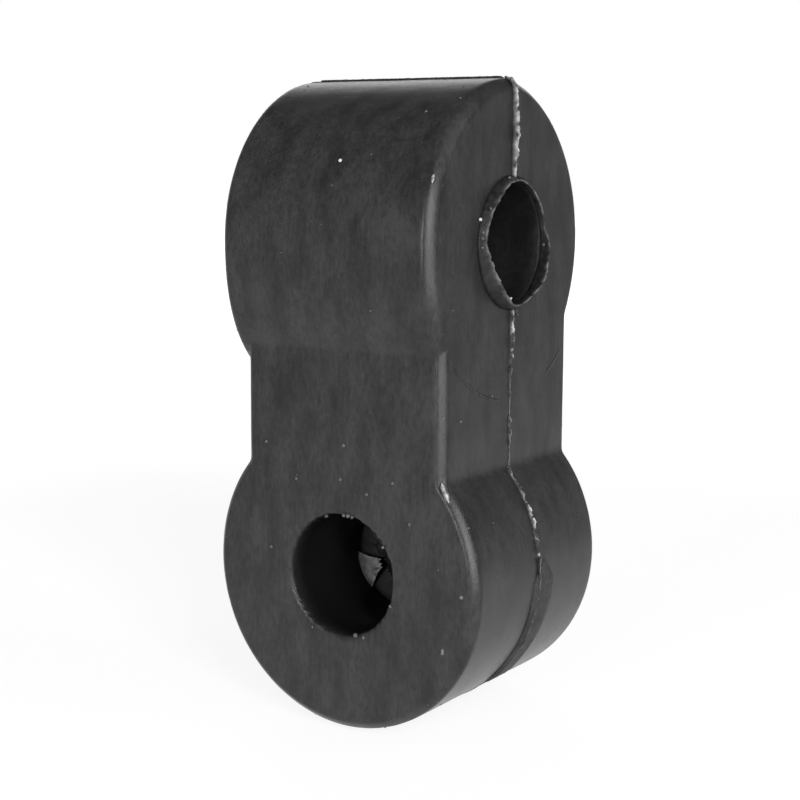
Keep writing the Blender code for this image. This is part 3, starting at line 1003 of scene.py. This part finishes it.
def lip_points():
    """The lip leans over the bore, so its crest draws a smaller ring than its foot."""
    points = []
    for degrees in range(-180, 180, 3):
        a = math.radians(degrees)
        way = Vector((1.0, LIP_LEAN * math.cos(a), LIP_LEAN * math.sin(a))).normalized()
        place = (UPPER_RIGHT, LIP_RADIUS * math.cos(a), LIP_RADIUS * math.sin(a))
        points.append((place, way, between(LIP_HEIGHTS, degrees) * MM))
    return points


path_piece("torn_lip", lip_points(), True, dict(
    FLASH, **{"Foot Width": 0.62 * MM, "Crest Width": 0.1 * MM, "Raggedness": 0.14,
              "Wander": 0.06 * MM, "Grain": 0.03 * MM, "Grain Size": 0.5 * MM, "Seed": 5.0,
              "Material": lip_rubber}
))

# %% [markdown]
# ## Torn skin in the lower bore
# The two core pins of the lower bore met half way, and the skin between them was pushed out.
# A ragged ring is left all round, painted darkest as shade deep in the bore, and one fan-shaped
# flap still hangs on the wall, painted pale grey as a patch of light in the dark bore.

# %% Torn skin and flap


def skin_points(start, end, heights, forward, lean):
    """A ragged skin on the bore's wall; heights gives its reach, in millimetres, by angle."""
    points = []
    count = round((end - start) / 3)
    for i in range(count + (end - start < 360)):
        degrees = start + (end - start) * i / count
        a = math.radians(degrees)
        inward = Vector((-math.cos(a), 0.0, -math.sin(a)))
        place = -inward * BORE_RADIUS + Vector((0, -forward, -EYE_SPACING))
        way = (inward + Vector((0, -lean, 0))).normalized()
        points.append((place, way, between(heights, degrees) * MM))
    return points


SKIN = dict(
    FLASH, **{"Step": 0.12 * MM, "Foot Width": 0.4 * MM, "Crest Width": 0.1 * MM,
              "Raggedness": 0.5, "Tear Length": 1.4 * MM, "Wander": 0.1 * MM, "Seed": 8.0,
              "Material": skin_painted_shade}
)
# Reach in millimetres by angle in degrees, from the right of the bore upwards.
# From 185 to 245 degrees the skin reaches furthest: partly torn skin, partly a dark sheet standing
# in for shade in the bore.
SKIN_HEIGHTS = [(0, 0.5), (150, 0.6), (185, 2.6), (245, 3.0), (285, 0.6), (360, 0.5)]
FLAP_HEIGHTS = [(186, 2.6), (200, 3.8), (212, 3.4), (226, 2.0)]
path_piece("torn_skin", skin_points(0, 360, SKIN_HEIGHTS, 0.0, 0.0), True, SKIN)
path_piece(
    "skin_flap", skin_points(186, 226, FLAP_HEIGHTS, 0.7 * MM, 0.3), False,
    dict(SKIN, **{"Raggedness": 0.5, "Tear Length": 1.2 * MM, "Wander": 0.8 * MM, "Taper": 0.25,
                  "Grain": 0.25 * MM, "Grain Size": 0.8 * MM, "Seed": 9.0, "Material": flap_painted_light}),
)

# %% [markdown]
# ## Trimmed rib
# Under the lower eye the flash was thick, and a knife took it off. It left a raised band with
# a steep front edge, a shallow back edge and a rough cut face. At the very bottom it is worn
# flush with the eye. The same group makes it, with a wide crest, coarse grain and many more
# rows across. A thin line of flash is left on it at the right.

# %% Trimmed rib
RIB_LOWEST = -EYE_SPACING - 0.05 * MM
# The share of the rib that is left, by angle in degrees; below 0 it is under the surface.
RIB_WEAR = [(-190, 1), (-118, 1), (-106, -1), (-56, -1), (-47, 0.9), (-40, 1), (10, 1)]


def rib_points(middle, lift, start, end, height):
    """A path round the underside of the lower eye, from one angle to another in degrees."""
    points = []
    count = round(abs(end - start) / 1.5)
    for i in range(count + 1):
        degrees = start + (end - start) * i / count
        a = math.radians(degrees)
        way = Vector((math.cos(a), 0.0, math.sin(a)))
        place = way * (LOWER_RADIUS + lift) + Vector((0, middle, RIB_LOWEST))
        points.append((place, way, height * between(RIB_WEAR, degrees)))
    return points


path_piece("trimmed_rib", rib_points(0.8 * MM, 0, 6, -186, 0.28 * MM), False, dict(
    FLASH, **{"Step": 0.14 * MM, "Rows": 61, "Foot Width": 4.1 * MM, "Crest Width": 2.6 * MM,
              "Sink": 0.4 * MM, "Crest Shift": -0.4 * MM, "Raggedness": 0.15, "Wander": 0.04 * MM,
              "Grain": 0.05 * MM, "Grain Size": 0.45 * MM, "Taper": 0.05, "Seed": 12.0,
              "Material": cut_rubber}
))
path_piece("line_on_rib", rib_points(-0.46 * MM, 0.18 * MM, 6, -30, 0.12 * MM), False, dict(
    FLASH, **{"Foot Width": 0.35 * MM, "Crest Width": 0.12 * MM, "Sink": 0.15 * MM,
              "Raggedness": 1.2, "Seed": 13.0, "Material": lip_rubber}
))

# %% [markdown]
# ## Small marks
# A faint ring on the neck shows how far the upper eye's insert reached. Two nicks were pulled
# out of the rims. The same ragged edge draws them, very low and short.

# %% Witness ring and nicks
WITNESS_RADIUS = 15.72 * MM
NICK_HEIGHT = 0.16 * MM


def witness_points(start, end, height):
    """An arc on the neck's right face, between two angles in degrees."""
    points = []
    for degrees in range(start, end + 1, 2):
        a = math.radians(degrees)
        place = (NECK_HALF_WIDTH, WITNESS_RADIUS * math.cos(a), WITNESS_RADIUS * math.sin(a))
        points.append((place, (1.0, 0.0, 0.0), height))
    return points


def nick_points(middle, along, way, reach):
    """A short straight path, reach long to each side of a place on a rim."""
    middle, along, way = Vector(middle), Vector(along).normalized(), Vector(way).normalized()
    return [(middle + along * reach * (i / 4 - 1), way, NICK_HEIGHT) for i in range(9)]


LOW_EDGE = dict(FLASH, **{"Foot Width": 0.35 * MM, "Crest Width": 0.1 * MM, "Sink": 0.15 * MM,
                          "Wander": 0.05 * MM, "Raggedness": 0.5, "Taper": 0.1})
for name, points in (
    ("witness_front", witness_points(-134, -96, 0.11 * MM)),
    ("witness_back", witness_points(-62, -46, 0.03 * MM)),
):
    path_piece(name, points, False, dict(LOW_EDGE, Seed=21.0, Material=satin))
NICKS = [
    ("neck_nick", (NECK_HALF_WIDTH + 0.1 * MM, -LOWER_HALF_LENGTH + 0.25 * LOWER_RIM, -23.3 * MM),
     (0.45, 0, -1), (0.7, -0.7, 0.1), 1.1 * MM,
     {"Foot Width": 0.7 * MM, "Taper": 0.2, "Seed": 23.0}),
    ("rim_nick", (UPPER_RIGHT - 0.75 * MM, -13.5 * MM, 6.25 * MM),
     (0, -0.35, -1), (0.7, -0.6, 0.3), 0.5 * MM,
     {"Foot Width": 0.5 * MM, "Taper": 0.3, "Seed": 24.0}),
]
for name, middle, along, way, reach, knobs in NICKS:
    points = nick_points(middle, along, way, reach)
    path_piece(name, points, False, dict(LOW_EDGE, Raggedness=0.8, **knobs))

# %% [markdown]
# ## Crumbs, dust and painted glints
# Tearing the flash leaves crumbs that stick to the faces. A second group puts a small faceted
# crumb on each point of a mesh. Its size comes from the point's own attribute, and each crumb
# is turned at random. One mesh lists the crumbs that stand out, among them pale ones that are
# painted glints of light, and another scatters fine dust.

# %% Crumb group
CRUMB_BUMP = 0.16 * MM
CRUMB_KNOBS = [
    ("Roughness", "NodeSocketFloat"), ("Seed", "NodeSocketInt"), ("Material", "NodeSocketMaterial"),
]


def crumb_group():
    group = new_group("crumbs", CRUMB_KNOBS)
    knob = add_node(group, "NodeGroupInput").outputs
    crumb = add_node(group, "GeometryNodeMeshIcoSphere", inputs={"Radius": 1.0, "Subdivisions": 2})
    turn = add_node(
        group, "FunctionNodeRandomValue", {"data_type": "FLOAT_VECTOR"},
        {0: (0, 0, 0), 1: (math.tau,) * 3, "Seed": knob["Seed"]},
    )
    size = add_node(
        group, "GeometryNodeInputNamedAttribute", {"data_type": "FLOAT"}, {"Name": "size"}
    )
    placed = add_node(
        group, "GeometryNodeInstanceOnPoints",
        inputs={"Points": knob["Geometry"], "Instance": crumb, "Rotation": turn, "Scale": size},
    )
    real = add_node(group, "GeometryNodeRealizeInstances", inputs=(placed,))
    place = add_node(group, "GeometryNodeInputPosition")
    wave = add_node(group, NOISE, inputs={"Vector": place, "Scale": 1 / CRUMB_BUMP, "Detail": 1.0})
    bumps = add_node(group, VECTOR_MATH, "SUBTRACT", {0: wave.outputs[1], 1: (0.5,) * 3})
    push = add_node(group, VECTOR_MATH, "SCALE", {0: bumps, "Scale": knob["Roughness"]})
    rough = add_node(group, "GeometryNodeSetPosition", inputs={"Geometry": real, "Offset": push})
    painted = add_node(
        group, "GeometryNodeSetMaterial", inputs={"Geometry": rough, "Material": knob["Material"]}
    )
    add_node(group, "NodeGroupOutput", inputs=(painted,))
    return group


def crumb_piece(name, places, roughness, seed, material):
    """places are (place, size) pairs; the mesh starts as bare points."""
    mesh = bpy.data.meshes.new(name)
    mesh.from_pydata([place for place, size in places], [], [])
    mesh.attributes.new("size", "FLOAT", "POINT")
    mesh.attributes["size"].data.foreach_set("value", [size for place, size in places])
    item = bpy.data.objects.new(name, mesh)
    bpy.context.scene.collection.objects.link(item)
    run_group(item, crumbs, {"Roughness": roughness, "Seed": seed, "Material": material})
    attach(item, "root")
    print(name, "has", len(places), "crumbs and", len(item.data.polygons), "faces")


crumbs = crumb_group()

# %% Crumbs that stand out, painted glints, and fine dust
# Torn bits with no skin are grey. The pale ones are painted glints, bright points where light
# catches torn rubber.
glint_crumb = rubber("painted_glint_crumb", "#a6a6a6", "#d8d8d8", 1.0, 0.2, 0.5, 0.7, 0.1, 0.02)
grey_crumb = rubber("grey_rubber_crumb", "#333333", "#6c6c6c", 1.0, 0.2, 0.5, 0.7, 0.1, 0.02)
DUST_COUNT = 180
DUST_START, DUST_STRIDE = 1234, 7919
DUST_LEAST, DUST_SPREAD = 0.04, 0.07
FRONT = -LOWER_HALF_LENGTH / MM
# Each row is a place and a radius, in millimetres.
# Pale crumbs are painted glints, where light catches torn rubber; the grey ones are crumbs.
PAINTED_GLINTS = [
    (0.24, -12.76, 7.96, 0.2), (12.5, -6.96, 2.43, 0.17), (12.61, -1.12, -5.44, 0.15),
]
GREY_CRUMBS = [
    (12.0, -9.42, -16.79, 0.18), (7.5, -8.83, 12.6, 0.16), (0.0, FRONT, -23.29, 0.17),
    (3.14, FRONT, -24.44, 0.19), (6.21, FRONT, -23.0, 0.17), (8.2, FRONT, -26.81, 0.19),
    (-8.75, FRONT, -31.25, 0.2), (0.37, FRONT, -19.84, 0.18), (-9.3, FRONT, -20.36, 0.16),
    (-5.48, FRONT, -23.78, 0.16), (1.84, FRONT, -38.9, 0.24), (2.81, FRONT, -38.95, 0.2),
    (6.0, FRONT, -35.3, 0.16), (5.1, FRONT, -29.5, 0.16), (0.4, FRONT, -26.85, 0.2),
    (0.9, FRONT, -26.85, 0.22), (1.4, FRONT, -26.95, 0.17), (-1.73, FRONT, -27.2, 0.18),
    (12.91, -7.04, 1.21, 0.12), (12.7, -6.8, 0.6, 0.14), (12.61, -6.69, -0.23, 0.14),
    (12.7, 5.36, -0.29, 0.15), (12.91, -2.19, 6.43, 0.13), (12.05, 1.05, -6.88, 0.15),
    (12.1, 1.25, -7.2, 0.12), (12.91, -5.78, 3.47, 0.12), (14.15, FRONT, -33.14, 0.22),
    (12.08, FRONT, -38.99, 0.2), (12.1, FRONT, -38.7, 0.2),
]
for name, table, material in (
    ("painted_glints", PAINTED_GLINTS, glint_crumb), ("grey_crumbs", GREY_CRUMBS, grey_crumb)
):
    listed = [(Vector((x, y, z)) * MM, size * MM) for x, y, z, size in table]
    crumb_piece(name, listed, 0.1 * MM, 3, material)

bare = [f.center for f in block.data.polygons if painted_bore_shade(f.center) == 0]
dust = []
for i in range(DUST_COUNT):
    place = bare[(i * DUST_STRIDE + DUST_START) % len(bare)].copy()
    share = i * 37 % 101 / 100
    dust.append((place, (DUST_LEAST + DUST_SPREAD * share**3) * MM))
crumb_piece("fine_dust", dust, 0.04 * MM, 4, grey_crumb)

# %% [markdown]
# ## Finish
# The imported solid's box is printed once more.

# %% Print the solid's box
print("solid", [round(v / MM, 2) for v in (*cad_low, *cad_high)])
